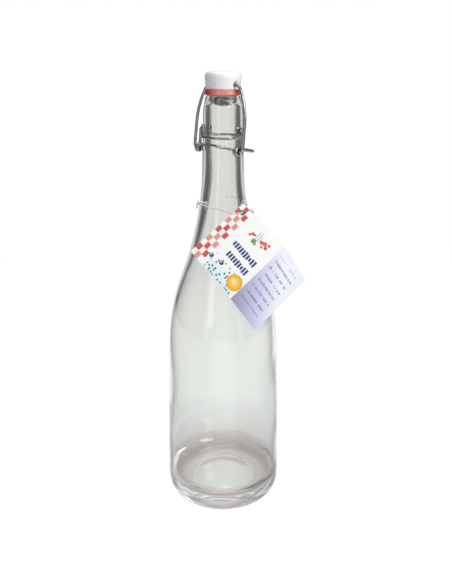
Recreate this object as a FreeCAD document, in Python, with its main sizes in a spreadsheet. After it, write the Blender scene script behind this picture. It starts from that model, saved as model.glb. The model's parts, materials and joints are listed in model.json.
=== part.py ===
"""Swing top bottle: glass bottle, wire closure, stopper with rubber gasket, and a folded card tag on a cord.

Frame: +Z up, origin on the resting plane at the bottle's axis. The closure's hinge axes run along X, and its
handle wraps the neck on the +Y side. Lengths are in millimetres and angles in degrees.
"""

import FreeCAD, Part
import math
import os
import re

import Sketcher

SIZES = {
    "body_radius": (41.2, "outside of the body"),
    "heel_round": (10.5, "outer round between the base and the body"),
    "bearing_radius": (26.0, "inner edge of the ring the bottle stands on"),
    "pushup_height": (5.0, "rise of the base's middle"),
    "shoulder_height": (108.0, "where the body starts to turn in"),
    "shoulder_share": (0.382, "share of the shoulder that curves outwards"),
    "neck_radius": (15.9, "outside of the neck"),
    "neck_height": (244.0, "where the shoulder meets the neck"),
    "finish_radius": (15.6, "outside of the finish above the wire groove"),
    "finish_height": (277.0, "where the finish starts to taper"),
    "finish_curve": (70.0, "radius of the tapering finish"),
    "lip_radius": (13.7, "outside of the lip"),
    "lip_round": (2.0, "outer round of the lip"),
    "lip_height": (296.0, "top of the glass"),
    "bore_radius": (8.5, "inside of the neck"),
    "bore_round": (1.2, "round at the mouth of the bore"),
    "bore_depth_height": (246.0, "where the bore starts to open out"),
    "bore_share": (0.4, "share of the inner shoulder that curves outwards"),
    "inner_radius": (38.4, "inside of the body"),
    "inner_shoulder_height": (106.0, "where the inside starts to turn in"),
    "floor_round": (11.0, "inner round between the floor and the wall"),
    "floor_height": (9.0, "inside floor at its edge"),
    "floor_dome": (3.6, "rise of the inside floor's middle"),
    "collar_height": (264.6, "level of the wire band round the neck"),
    "collar_radius": (15.75, "centreline of the wire band"),
    "collar_wire": (0.9, "radius of the band's wire"),
    "collar_slack": (0.1, "room between the band and its groove"),
    "riser_step": (0.55, "foot of each riser outside the band's centreline"),
    "lever_wire_radius": (1.3, "radius of the lever's wire"),
    "bail_wire_radius": (1.2, "radius of the bail's wire"),
    "running_gap": (0.08, "radial room of each wire pivot"),
    "pivot_back": (2.5, "how far the lever's pivots sit in front of the bottle's axis"),
    "pivot_height": (270.0, "level of the lever's pivots"),
    "pivot_eye_side": (17.9, "middle of each collar eye from the axis"),
    "pin_tip_side": (16.5, "inner end of each pivot pin"),
    "hook_back": (6.0, "how far the bail's hooks sit in front of the axis"),
    "hook_height": (255.0, "level of the bail's hooks"),
    "leg_side": (21.2, "lever's legs from the axis"),
    "coil_step": (2.5, "spacing of the two turns of the lever's eye"),
    "leg_bend": (1.9, "bend between pivot pin and leg"),
    "handle_centre": (6.5, "centre of the handle's bow behind the axis"),
    "handle_height": (251.0, "level of the handle's bow"),
    "cross_height": (304.0, "level of the bail's crossbar in the stopper"),
    "crossbar_side": (13.8, "straight part of the crossbar from the axis"),
    "bail_top_bend": (4.0, "bend where the bail leaves the stopper"),
    "bail_top_turn": (60.0, "angle turned in that bend"),
    "bail_bow": (55.0, "radius of the bail's bowed sides"),
    "bail_hook_bend": (3.0, "bend above each hook"),
    "hook_tip_side": (17.4, "inner end of each hook"),
    "head_radius": (14.3, "widest part of the stopper"),
    "head_top": (314.6, "top of the stopper"),
    "crown_round": (4.4, "round at the stopper's top edge"),
    "head_foot_radius": (13.2, "stopper where it meets the gasket"),
    "gasket_top": (300.8, "upper face of the gasket"),
    "gasket_bottom": (296.3, "lower face of the gasket"),
    "gasket_radius": (14.5, "outside of the gasket"),
    "gasket_top_radius": (13.7, "gasket at its upper face"),
    "gasket_round": (1.1, "round at the gasket's lower edge"),
    "stem_radius": (6.0, "stem inside the gasket"),
    "button_radius": (7.0, "button that keeps the gasket on"),
    "button_taper": (1.0, "how much the button narrows"),
    "button_round": (2.4, "round at the button's end"),
    "button_bottom": (288.5, "lower end of the stopper"),
    "mouth_radius": (3.3, "flared mouth of the cross hole"),
    "mouth_depth_side": (8.0, "where the cross hole starts to flare"),
    "tag_azimuth": (42.0, "direction the tag faces, turned from -Y towards +X"),
    "tag_tilt": (23.7, "how far the tag leans back"),
    "tag_roll": (41.8, "angle of the crease above level"),
    "tag_side": (24.4, "crease middle, sideways"),
    "tag_reach": (48.0, "crease middle, out from the axis"),
    "tag_rise": (175.6, "crease middle, height"),
    "leaf_width": (42.0, "card leaf across the crease"),
    "leaf_length": (52.0, "card leaf along the crease"),
    "leaf_thickness": (0.4, "card"),
    "leaf_corner": (0.8, "corner round of the card"),
    "crease_gap": (0.25, "each leaf's distance from the crease line"),
    "crease_bend": (51.0, "how far the back leaf is bent back"),
    "hole_radius": (2.0, "hole for the cord"),
    "hole_inset_across": (4.5, "hole to the edge opposite the crease"),
    "hole_inset_along": (6.5, "hole to the upper edge"),
    "cord_radius": (0.45, "thread"),
    "cord_loop_radius": (19.0, "loop round the neck"),
    "cord_bend": (1.2, "thread's bends at the card"),
    "cord_stand_off": (1.7, "thread in front of the hole and behind it"),
    "cord_reach": (7.5, "stretch of thread in front of the card"),
}

doc = FreeCAD.newDocument("swing_top_bottle")


def write_sizes():
    """The sheet of driving dimensions: a note, a plain number and its alias in each row."""
    sheet = doc.addObject("Spreadsheet::Sheet", "Sizes")
    for row, (alias, (value, note)) in enumerate(SIZES.items(), start=1):
        sheet.set(f"A{row}", note)
        sheet.set(f"B{row}", str(value))
        sheet.setAlias(f"B{row}", alias)
    doc.recompute()
    return sheet


sheet = write_sizes()


def bound(text):
    """The text of a formula with every size's alias written as a reference to the sheet."""
    return re.sub(r"[a-z_]+", lambda m: f"Sizes.{m[0]}" if m[0] in SIZES else m[0], text)


def value(text):
    """The number that a formula of sizes gives now."""
    return float(sheet.evalExpression(bound(text)))


def vector(x, y, z):
    return FreeCAD.Vector(x, y, z)


def new_body(name):
    body = doc.addObject("PartDesign::Body", name)
    body.Label = name
    return body


def origin_plane(body, role):
    return next(f for f in body.Origin.OriginFeatures if f.Role == role)


def new_sketch(body, name, role):
    sketch = body.newObject("Sketcher::SketchObject", name)
    sketch.AttachmentSupport = (origin_plane(body, role), [""])
    sketch.MapMode = "FlatFace"
    return sketch


def fix_point(sketch, geo, end, x_text, y_text):
    """Hold one end of a curve at the place two formulas give, measured from the sketch's origin."""
    for kind, text, axis in (("DistanceX", x_text, -2), ("DistanceY", y_text, -1)):
        if text == "0":
            sketch.addConstraint(Sketcher.Constraint("PointOnObject", geo, end, axis))
            continue
        number = sketch.addConstraint(Sketcher.Constraint(kind, -1, 1, geo, end, value(text)))
        sketch.setExpression(f"Constraints[{number}]", bound(text))


def arc_between(first, last, radius, side):
    """The short arc of the given radius from first to last; side 1 bulges left of the way, -1 right."""
    chord = last - first
    across = vector(-chord.y, chord.x, 0).normalize()
    half = chord.Length / 2
    sagitta = radius - math.sqrt(max(radius**2 - half**2, 0.0))
    middle = (first + last) * 0.5 + across * (side * sagitta)
    return Part.Arc(first, middle, last)


def draw(sketch, corners, closed=True):
    """Draw lines and arcs through corners. A corner is (x, y) or (x, y, radius, side), all formulas but
    side; the radius and side belong to the arc that leads on to the next corner."""
    places = [vector(value(c[0]), value(c[1]), 0) for c in corners]
    count = len(corners) if closed else len(corners) - 1
    ends = []
    for i in range(count):
        first, last = places[i], places[(i + 1) % len(corners)]
        if len(corners[i]) == 4:
            arc = arc_between(first, last, value(corners[i][2]), corners[i][3])
            geo = sketch.addGeometry(arc, False)
            starts = 1 if sketch.getPoint(geo, 1).distanceToPoint(first) < 1e-6 else 2
            number = sketch.addConstraint(Sketcher.Constraint("Radius", geo, value(corners[i][2])))
            sketch.setExpression(f"Constraints[{number}]", bound(corners[i][2]))
        else:
            geo = sketch.addGeometry(Part.LineSegment(first, last), False)
            starts = 1
        ends.append((geo, starts, 3 - starts))
    for i, (geo, start, _) in enumerate(ends):
        fix_point(sketch, geo, start, corners[i][0], corners[i][1])
        if closed or i:
            before = ends[i - 1]
            sketch.addConstraint(Sketcher.Constraint("Coincident", before[0], before[2], geo, start))
    if not closed:
        fix_point(sketch, ends[-1][0], ends[-1][2], corners[-1][0], corners[-1][1])


def revolve(body, sketch, kind="Revolution", axis="V_Axis"):
    feature = body.newObject(f"PartDesign::{kind}", f"{sketch.Name}_turned")
    feature.Profile = sketch
    feature.ReferenceAxis = (sketch, [axis])
    feature.Angle = 360
    return feature


def cut_counts(body, before, what):
    """Stop if a cut took nothing away from the volume the body had before it."""
    doc.recompute()
    if body.Shape.Volume > before - 0.01:
        raise RuntimeError(f"{what} cut nothing")


def glass_bottle():
    """One turned section of the glass, with a round groove for the wire band."""
    body = new_body("glass_bottle")
    section = new_sketch(body, "bottle_section", "XZ_Plane")
    outer_fall, outer_rise = "(body_radius - neck_radius)", "(neck_height - shoulder_height)"
    inner_fall, inner_rise = "(inner_radius - bore_radius)", "(bore_depth_height - inner_shoulder_height)"
    outer_curve = f"({outer_fall}^2 + {outer_rise}^2) / (2 * {outer_fall})"
    inner_curve = f"({inner_fall}^2 + {inner_rise}^2) / (2 * {inner_fall})"
    draw(section, [
        ("0", "pushup_height", "(bearing_radius^2 + pushup_height^2) / (2 * pushup_height)", 1),
        ("bearing_radius", "0"),
        ("body_radius - heel_round", "0", "heel_round", -1),
        ("body_radius", "heel_round"),
        ("body_radius", "shoulder_height", f"shoulder_share * {outer_curve}", -1),
        (f"body_radius - shoulder_share * {outer_fall}", f"shoulder_height + shoulder_share * {outer_rise}",
         f"(1 - shoulder_share) * {outer_curve}", 1),
        ("neck_radius", "neck_height"),
        ("finish_radius", "finish_height", "finish_curve", -1),
        ("lip_radius", "lip_height - lip_round", "lip_round", -1),
        ("lip_radius - lip_round", "lip_height"),
        ("bore_radius + bore_round", "lip_height", "bore_round", -1),
        ("bore_radius", "lip_height - bore_round"),
        ("bore_radius", "bore_depth_height", f"(1 - bore_share) * {inner_curve}", -1),
        (f"inner_radius - bore_share * {inner_fall}",
         f"inner_shoulder_height + bore_share * {inner_rise}", f"bore_share * {inner_curve}", 1),
        ("inner_radius", "inner_shoulder_height"),
        ("inner_radius", "floor_height + floor_round", "floor_round", 1),
        ("inner_radius - floor_round", "floor_height",
         "((inner_radius - floor_round)^2 + floor_dome^2) / (2 * floor_dome)", -1),
        ("0", "floor_height + floor_dome"),
    ])
    revolve(body, section)
    doc.recompute()
    before = body.Shape.Volume
    groove = new_sketch(body, "wire_groove", "XZ_Plane")
    centre = vector(value("collar_radius"), value("collar_height"), 0)
    circle = groove.addGeometry(Part.Circle(centre, vector(0, 0, 1), value("collar_wire + collar_slack")))
    fix_point(groove, circle, 3, "collar_radius", "collar_height")
    number = groove.addConstraint(Sketcher.Constraint("Radius", circle, value("collar_wire + collar_slack")))
    groove.setExpression(f"Constraints[{number}]", bound("collar_wire + collar_slack"))
    revolve(body, groove, "Groove")
    cut_counts(body, before, "wire groove")
    return body


def torus(name, ring, wire, place, turn):
    """A wire ring, sized and placed by formulas, and turned so that its seam is clear of what joins it."""
    made = doc.addObject("Part::Torus", name)
    made.setExpression("Radius1", bound(ring))
    made.setExpression("Radius2", bound(wire))
    made.Placement = FreeCAD.Placement(vector(0, 0, 0), turn)
    for axis, text in zip("xyz", place):
        made.setExpression(f"Placement.Base.{axis}", bound(text))
    return made


def fuse(name, shapes):
    joined = doc.addObject("Part::MultiFuse", name)
    joined.Shapes = shapes
    joined.Label = name
    return joined


def neck_collar():
    """The band round the neck, with an eye on a short riser at each side for the lever's pins."""
    seam_behind = FreeCAD.Rotation(vector(0, 0, 1), 90)
    upright = FreeCAD.Rotation(vector(0, 1, 0), -90)
    pieces = [torus("band", "collar_radius", "collar_wire", ("0", "0", "collar_height"), seam_behind)]
    eye_ring = "lever_wire_radius + running_gap + collar_wire"
    for side, word in ((1, "right"), (-1, "left")):
        place = (f"{side} * pivot_eye_side", "-pivot_back", "pivot_height")
        pieces.append(torus(f"{word}_eye", eye_ring, "collar_wire", place, upright))
        foot = vector(side * value("collar_radius + riser_step"), -value("pivot_back") / 2,
                      value("collar_height"))
        head = vector(side * value("pivot_eye_side"), -value("pivot_back"),
                      value(f"pivot_height - ({eye_ring})"))
        riser = doc.addObject("Part::Cylinder", f"{word}_riser")
        riser.setExpression("Radius", bound("collar_wire"))
        riser.Height = (head - foot).Length
        riser.Placement = FreeCAD.Placement(foot, FreeCAD.Rotation(vector(0, 0, 1), head - foot))
        pieces.append(riser)
    return fuse("neck_collar", pieces)


def pipe_along(edges, radius):
    """A round wire piped along lines and arcs that follow on from each other."""
    spine = Part.Wire(edges)
    start = spine.OrderedVertexes[0].Point
    first = spine.OrderedEdges[0]
    heading = first.tangentAt(first.FirstParameter)
    ring = Part.Wire(Part.Circle(start, heading, radius).toShape())
    return spine.makePipeShell([ring], True, False)


def arc_edge(centre, start, middle, end):
    """An arc about centre through three directions, each a vector from the centre."""
    return Part.Arc(centre + start, centre + middle, centre + end).toShape()


def line_edge(first, last):
    return Part.LineSegment(first, last).toShape()


def lever_side():
    """The lever's right side: pivot pin, leg, and the two turns of its eye."""
    wire = value("lever_wire_radius")
    pin, leg, bend = value("pin_tip_side"), value("leg_side"), value("leg_bend")
    pivot_y, pivot_z = -value("pivot_back"), value("pivot_height")
    hook_y, hook_z = -value("hook_back"), value("hook_height")
    coil = value("bail_wire_radius + running_gap + lever_wire_radius")
    corner = vector(leg - bend, pivot_y, pivot_z - bend)
    lean = vector(0, hook_y + coil - pivot_y, 0)
    slant = bend * math.sqrt(0.5)
    pin_edge = line_edge(vector(pin, pivot_y, pivot_z), vector(leg - bend, pivot_y, pivot_z))
    bend_edge = arc_edge(corner, vector(0, 0, bend), vector(slant, 0, slant), vector(bend, 0, 0))
    top = corner + vector(bend, 0, 0)
    leg_edge = line_edge(top, vector(leg, pivot_y, hook_z) + lean * 0.5)
    side = pipe_along([pin_edge, bend_edge], wire)
    side = side.fuse(pipe_along([leg_edge], wire)).fuse(Part.makeSphere(wire, top))
    for turn in (0, 1):
        place = vector(leg - turn * value("coil_step"), hook_y, hook_z)
        side = side.fuse(Part.makeTorus(coil, wire, place, vector(1, 0, 0)))
    return side


def handle_bow():
    """The lever's handle: an arm from each eye and a half circle behind the neck, all on one slope."""
    bow = value("leg_side - coil_step")
    start_y = -value("hook_back")
    start_z = value("hook_height + bail_wire_radius + running_gap + lever_wire_radius")
    bow_y, end_z = value("handle_centre"), value("handle_height")
    slope = (end_z - start_z) / (bow_y + bow - start_y)

    def on_slope(x, y):
        return vector(x, y, start_z + slope * (y - start_y))

    right = line_edge(on_slope(bow, start_y), on_slope(bow, bow_y))
    left = line_edge(on_slope(-bow, bow_y), on_slope(-bow, start_y))
    rise = on_slope(0, bow_y + bow) - on_slope(0, bow_y)
    back = arc_edge(on_slope(0, bow_y), vector(bow, 0, 0), rise.normalize() * bow, vector(-bow, 0, 0))
    return pipe_along([right, back, left], value("lever_wire_radius"))


def lever_wire():
    """One bent wire: pin, leg and eye on each side, joined by the handle."""
    side = lever_side()
    made = doc.addObject("Part::Feature", "lever_wire")
    made.Label = "lever_wire"
    made.Shape = side.fuse([handle_bow(), side.mirror(vector(0, 0, 0), vector(1, 0, 0))])
    made.Placement = FreeCAD.Placement()
    return made


def bail_wire():
    """Half of the bail piped along its centreline and mirrored. Its own frame has the crossbar on X, and
    leans so that the hooks reach the lever's eyes."""
    body = new_body("bail_wire")
    path = new_sketch(body, "bail_path", "XZ_Plane")
    reach = "sqrt((cross_height - hook_height)^2 + hook_back^2)"
    turn = "(bail_top_turn * 1 deg)"
    bend_x = f"crossbar_side + bail_top_bend * sin{turn}"
    bend_y = f"bail_top_bend * cos{turn} - bail_top_bend"
    side_x = f"{bend_x} - bail_bow * sin{turn} + bail_bow"
    draw(path, [
        ("0", "0"),
        ("crossbar_side", "0", "bail_top_bend", 1),
        (bend_x, bend_y, "bail_bow", 1),
        (side_x, f"{bend_y} - bail_bow * cos{turn}"),
        (side_x, f"bail_hook_bend - {reach}", "bail_hook_bend", 1),
        (f"{side_x} - bail_hook_bend", f"-{reach}"),
        ("hook_tip_side", f"-{reach}"),
    ], closed=False)
    ring = new_sketch(body, "bail_ring", "YZ_Plane")
    circle = ring.addGeometry(Part.Circle(vector(0, 0, 0), vector(0, 0, 1), value("bail_wire_radius")))
    ring.addConstraint(Sketcher.Constraint("Coincident", circle, 3, -1, 1))
    number = ring.addConstraint(Sketcher.Constraint("Radius", circle, value("bail_wire_radius")))
    ring.setExpression(f"Constraints[{number}]", bound("bail_wire_radius"))
    pipe = body.newObject("PartDesign::AdditivePipe", "bail_side")
    pipe.Profile = ring
    pipe.Spine = path
    doc.recompute()
    mirror = body.newObject("PartDesign::Mirrored", "bail_mirror")
    mirror.Originals = [pipe]
    mirror.MirrorPlane = (origin_plane(body, "YZ_Plane"), [""])
    body.Tip = mirror
    lean = math.degrees(math.atan2(value("hook_back"), value("cross_height - hook_height")))
    body.Placement = FreeCAD.Placement(vector(0, 0, value("cross_height")),
                                       FreeCAD.Rotation(vector(1, 0, 0), -lean))
    return body


def stopper_head():
    """The turned stopper, with a cross hole that flares at both mouths."""
    body = new_body("stopper_head")
    section = new_sketch(body, "head_section", "XZ_Plane")
    draw(section, [
        ("0", "button_bottom"),
        ("button_radius - button_taper - button_round", "button_bottom", "button_round", -1),
        ("button_radius - button_taper", "button_bottom + button_round"),
        ("button_radius", "gasket_bottom"),
        ("stem_radius", "gasket_bottom"),
        ("stem_radius", "gasket_top"),
        ("head_foot_radius", "gasket_top"),
        ("head_radius", "head_top - crown_round", "crown_round", -1),
        ("head_radius - crown_round", "head_top"),
        ("0", "head_top"),
    ])
    revolve(body, section)
    doc.recompute()
    before = body.Shape.Volume
    hole = new_sketch(body, "cross_hole", "XZ_Plane")
    hole.setExpression("AttachmentOffset.Base.y", bound("cross_height"))
    bore, outside = "bail_wire_radius + running_gap", "head_radius + 1"
    draw(hole, [
        (f"-({outside})", "0"),
        (outside, "0"),
        (outside, "mouth_radius"),
        ("mouth_depth_side", bore),
        ("-mouth_depth_side", bore),
        (f"-({outside})", "mouth_radius"),
    ])
    revolve(body, hole, "Groove", "H_Axis")
    cut_counts(body, before, "cross hole")
    return body


def gasket():
    """The rubber washer between the stopper's head and its button."""
    body = new_body("gasket")
    section = new_sketch(body, "gasket_section", "XZ_Plane")
    draw(section, [
        ("stem_radius", "gasket_bottom"),
        ("gasket_radius - gasket_round", "gasket_bottom", "gasket_round", -1),
        ("gasket_radius", "gasket_bottom + gasket_round"),
        ("gasket_top_radius", "gasket_top"),
        ("stem_radius", "gasket_top"),
    ])
    revolve(body, section)
    return body


def tag_axes():
    """The tag's sideways, upward and outward directions in the row frame."""
    a, lean = math.radians(value("tag_azimuth")), math.radians(value("tag_tilt"))
    sideways = vector(math.cos(a), math.sin(a), 0)
    outward = vector(math.sin(a), -math.cos(a), 0)
    upward = vector(0, 0, math.cos(lean)) - outward * math.sin(lean)
    return sideways, upward, outward


def tag_frame():
    """The crease's frame: x across the front leaf, y up along the crease, z out of the card's back."""
    sideways, upward, outward = tag_axes()
    roll = math.radians(value("tag_roll"))
    along = sideways * math.cos(roll) + upward * math.sin(roll)
    across = upward * math.cos(roll) - sideways * math.sin(roll)
    middle = sideways * value("tag_side") + outward * value("tag_reach") + vector(0, 0, value("tag_rise"))
    return FreeCAD.Placement(middle, FreeCAD.Rotation(across, along, across.cross(along), "XYZ"))


def card_leaf(name, side):
    """A padded card leaf that starts beside the crease and runs to one side of it."""
    body = new_body(name)
    outline = new_sketch(body, f"{name}_outline", "XY_Plane")
    near, far = f"{side} * crease_gap", f"{side} * leaf_width"
    draw(outline, [
        (near, "-leaf_length / 2"),
        (far, "-leaf_length / 2"),
        (far, "leaf_length / 2"),
        (near, "leaf_length / 2"),
    ])
    pad = body.newObject("PartDesign::Pad", f"{name}_pad")
    pad.Profile = outline
    pad.Midplane = True
    pad.setExpression("Length", bound("leaf_thickness"))
    doc.recompute()
    corners = [f"Edge{i}" for i, e in enumerate(pad.Shape.Edges, start=1) if at_corner(e)]
    fillet = body.newObject("PartDesign::Fillet", f"{name}_corners")
    fillet.Base = (pad, corners)
    fillet.setExpression("Radius", bound("leaf_corner"))
    return body


def at_corner(edge):
    """Whether an edge runs through the card's thickness at a corner away from the crease."""
    first, last = edge.Vertexes[0].Point, edge.Vertexes[-1].Point
    return abs(first.z - last.z) > 1e-6 and abs(first.x) > value("leaf_width") / 2


def tag_front():
    body = card_leaf("tag_front", 1)
    doc.recompute()
    before = body.Shape.Volume
    punch = new_sketch(body, "cord_hole", "XY_Plane")
    x_text, y_text = "leaf_width - hole_inset_across", "leaf_length / 2 - hole_inset_along"
    centre = vector(value(x_text), value(y_text), 0)
    circle = punch.addGeometry(Part.Circle(centre, vector(0, 0, 1), value("hole_radius")))
    fix_point(punch, circle, 3, x_text, y_text)
    number = punch.addConstraint(Sketcher.Constraint("Radius", circle, value("hole_radius")))
    punch.setExpression(f"Constraints[{number}]", bound("hole_radius"))
    pocket = body.newObject("PartDesign::Pocket", "cord_hole_cut")
    pocket.Profile = punch
    pocket.Midplane = True
    pocket.Type = "ThroughAll"
    cut_counts(body, before, "cord hole")
    body.Placement = tag_frame()
    return body


def tag_back():
    body = card_leaf("tag_back", -1)
    bend = FreeCAD.Rotation(vector(0, 1, 0), value("crease_bend"))
    body.Placement = tag_frame().multiply(FreeCAD.Placement(vector(0, 0, 0), bend))
    return body


def corner_arc(before, corner, after, radius):
    """A round corner between two straight stretches."""
    back, ahead = (before - corner).normalize(), (after - corner).normalize()
    half = back.getAngle(ahead) / 2
    centre = corner + (back + ahead).normalize() * (radius / math.sin(half))
    trim = radius / math.tan(half)
    nearest = centre + (corner - centre).normalize() * radius
    return Part.Arc(corner + back * trim, nearest, corner + ahead * trim)


def tag_cord():
    """A level loop of thread: round the neck, in front of the card's edge, and back through its hole."""
    sideways, _, outward = tag_axes()
    hole = tag_frame().multVec(vector(value("leaf_width - hole_inset_across"),
                                      value("leaf_length / 2 - hole_inset_along"), 0))
    radius, thread, bend = value("cord_loop_radius"), value("cord_radius"), value("cord_bend")
    room, reach = value("cord_stand_off"), value("cord_reach")
    level = vector(0, 0, hole.z)
    side, out = hole.dot(sideways), hole.dot(outward)

    def place(u, d):
        return sideways * u + outward * d + level

    def touch(u, d, turn):
        """Where a straight strand from (u, d) touches the loop round the neck."""
        a = math.atan2(d, u) + turn * math.acos(radius / math.hypot(u, d))
        return place(radius * math.cos(a), radius * math.sin(a))

    left, right = touch(side - reach, out + room, 1), touch(side, out - room, -1)
    knots = [left, place(side - reach, out + room), place(side, out + room), place(side, out - room), right]
    arcs = [corner_arc(*knots[i - 1:i + 2], bend) for i in (1, 2, 3)]
    ends = [left] + [point for arc in arcs for point in (arc.StartPoint, arc.EndPoint)] + [right]
    edges = [Part.Arc(right, place(0, -radius), left).toShape()]
    for i, arc in enumerate(arcs):
        edges += [line_edge(ends[2 * i], ends[2 * i + 1]), arc.toShape()]
    edges.append(line_edge(ends[-2], right))
    made = doc.addObject("Part::Feature", "tag_cord")
    made.Label = "tag_cord"
    made.Shape = pipe_along(edges, thread)
    made.Placement = FreeCAD.Placement()
    return made


def check_document():
    for item in doc.Objects:
        if {"Invalid", "Error"} & set(item.State):
            raise RuntimeError(f"{item.Label} failed: {item.State}")


def check_part(part):
    shape = part.Shape
    if shape.isNull() or not shape.isValid() or not shape.Solids:
        raise RuntimeError(f"{part.Label} is not a valid solid")


def main():
    parts = [glass_bottle(), neck_collar(), lever_wire(), bail_wire(), stopper_head(), gasket(),
             tag_front(), tag_back(), tag_cord()]
    doc.recompute()
    check_document()
    for part in parts:
        check_part(part)
    os.makedirs("parts", exist_ok=True)
    for part in parts:
        part.Shape.exportStep(f"parts/{part.Label}.step")
        print(part.Label, round(part.Shape.Volume, 2), len(part.Shape.Solids))


main()
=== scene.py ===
import json
import math

import bpy
import bmesh
import numpy as np
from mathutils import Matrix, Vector


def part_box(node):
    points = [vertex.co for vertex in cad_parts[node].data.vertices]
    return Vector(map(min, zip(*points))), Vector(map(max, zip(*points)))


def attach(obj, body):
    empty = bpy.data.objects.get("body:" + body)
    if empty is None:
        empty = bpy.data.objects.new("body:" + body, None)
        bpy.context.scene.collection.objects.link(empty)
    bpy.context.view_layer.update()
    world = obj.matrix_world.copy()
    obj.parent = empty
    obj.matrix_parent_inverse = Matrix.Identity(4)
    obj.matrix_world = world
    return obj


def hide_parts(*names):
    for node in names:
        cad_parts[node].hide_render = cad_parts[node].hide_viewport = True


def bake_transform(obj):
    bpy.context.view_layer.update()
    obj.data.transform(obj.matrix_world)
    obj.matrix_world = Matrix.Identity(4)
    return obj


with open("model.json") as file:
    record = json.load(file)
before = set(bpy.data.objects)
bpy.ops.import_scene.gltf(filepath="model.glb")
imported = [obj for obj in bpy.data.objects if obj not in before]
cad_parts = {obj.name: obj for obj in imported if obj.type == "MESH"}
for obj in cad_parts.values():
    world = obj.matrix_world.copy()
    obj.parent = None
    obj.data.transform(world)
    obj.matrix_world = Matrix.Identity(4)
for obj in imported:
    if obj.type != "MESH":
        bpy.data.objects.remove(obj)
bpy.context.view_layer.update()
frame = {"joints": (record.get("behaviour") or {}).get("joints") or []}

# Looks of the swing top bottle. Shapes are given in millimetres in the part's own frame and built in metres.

MM = 0.001
QUARTER, FULL = math.pi / 2, 2 * math.pi
UP = np.array([0.0, 0.0, 1.0])
scene = bpy.context.scene


# ------------ places taken from the frame

def joint_place(name):
    """The place of a joint, in millimetres."""
    joint = next(j for j in frame["joints"] if j["name"] == name)
    return [round(c / MM, 3) for c in joint["pos_m"]]


def extent(node, axis):
    """The lowest and the highest place of a CAD node along an axis, in millimetres."""
    return [round(corner["XYZ".index(axis)] / MM, 3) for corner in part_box(node)]


_, PIVOT_Y, PIVOT_Z = joint_place("lever_swing")
_, HOOK_Y, HOOK_Z = joint_place("bail_swing")
_, _, CROSS_Z = joint_place("stopper_tilt")
CREASE = np.array(joint_place("tag_fold"))
BODY_R, LIP_Z = extent("glass_bottle", "X")[1], extent("glass_bottle", "Z")[1]
BUTTON_LOW, HEAD_TOP = extent("stopper_head", "Z")
HEAD_R = extent("stopper_head", "X")[1]
GASKET_LOW, GASKET_TOP = extent("gasket", "Z")
GASKET_R = extent("gasket", "X")[1]


# ------------ meshes

POLE = 1e-6                 # a lathe point nearer to the axis than this is on it
ASIDE = (0.31, 0.27, 0.91)  # a direction that no wire starts along
END_ROUND = 0.35            # rounding of a wire's cut ends, as a share of its radius


def added(name, data):
    made = bpy.data.objects.new(name, data)
    scene.collection.objects.link(made)
    return made


def mesh_object(name, points, faces, smooth_angle):
    """A mesh piece from points in millimetres, with its normals turned outwards."""
    mesh = bpy.data.meshes.new(name)
    mesh.from_pydata((np.asarray(points, float) * MM).tolist(), [], [list(map(int, f)) for f in faces])
    solid = bmesh.new()
    solid.from_mesh(mesh)
    bmesh.ops.recalc_face_normals(solid, faces=solid.faces)
    solid.to_mesh(mesh)
    solid.free()
    made = added(name, mesh)
    shade(made, smooth_angle)
    return made


def shade(made, angle):
    """Smooth shading, with sharp edges where faces meet at more than the angle."""
    made.data.shade_smooth()
    made.data.set_sharp_from_angle(angle=math.radians(angle))


def arc(centre, radius, start, end, count):
    """Points along an arc in a plane, with its angles in degrees."""
    turns = [math.radians(a) for a in np.linspace(start, end, count)]
    return [(centre[0] + radius * math.cos(a), centre[1] + radius * math.sin(a)) for a in turns]


def straight(a, b, count):
    """Points on the straight stretch from a to b, without its first end."""
    return [(a[0] + (b[0] - a[0]) * t, a[1] + (b[1] - a[1]) * t) for t in np.linspace(0, 1, count + 1)[1:]]


def lathe(name, profile, around, ring=False, change=None, smooth_angle=40):
    """A solid turned about Z from (radius, height) points, from pole to pole or closed on itself as a ring.
    change(row, angles, radius, height) moves the points of one whole turn."""
    angles = np.linspace(0, FULL, around, endpoint=False)
    points, rows = [], []
    for row, (radius, height) in enumerate(profile):
        if radius < POLE:
            rows.append([len(points)])
            points.append((0, 0, height))
            continue
        r, z = np.full(around, float(radius)), np.full(around, float(height))
        if change:
            r, z = change(row, angles, r, z)
        rows.append(list(range(len(points), len(points) + around)))
        points += np.column_stack([r * np.cos(angles), r * np.sin(angles), z]).tolist()
    faces = []
    for low, high in zip(rows, rows[1:] + rows[:1] if ring else rows[1:]):
        for i in range(around):
            j = (i + 1) % around
            corners = [low[i % len(low)], low[j % len(low)], high[j % len(high)], high[i % len(high)]]
            faces.append(list(dict.fromkeys(corners)))
    return mesh_object(name, points, faces, smooth_angle)


def frames_along(path, closed):
    """Tangents and two cross directions at each point of a path, turned as little as possible along it."""
    path = np.asarray(path, float)
    if closed:
        tangents = np.roll(path, -1, 0) - np.roll(path, 1, 0)
    else:
        tangents = np.gradient(path, axis=0)
    tangents /= np.linalg.norm(tangents, axis=1)[:, None]
    first = np.cross(tangents[0], ASIDE)
    sides = [first / np.linalg.norm(first)]
    for tangent in tangents[1:]:
        side = sides[-1] - tangent * (sides[-1] @ tangent)
        sides.append(side / np.linalg.norm(side))
    sides = np.array(sides)
    ups = np.cross(tangents, sides)
    if closed:
        last = sides[-1] - tangents[0] * (sides[-1] @ tangents[0])
        gap = math.atan2(last @ ups[0], last @ sides[0])
        turn = -gap * np.arange(len(path)) / len(path)
        c, s = np.cos(turn)[:, None], np.sin(turn)[:, None]
        sides, ups = sides * c + ups * s, ups * c - sides * s
    return tangents, sides, ups


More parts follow.
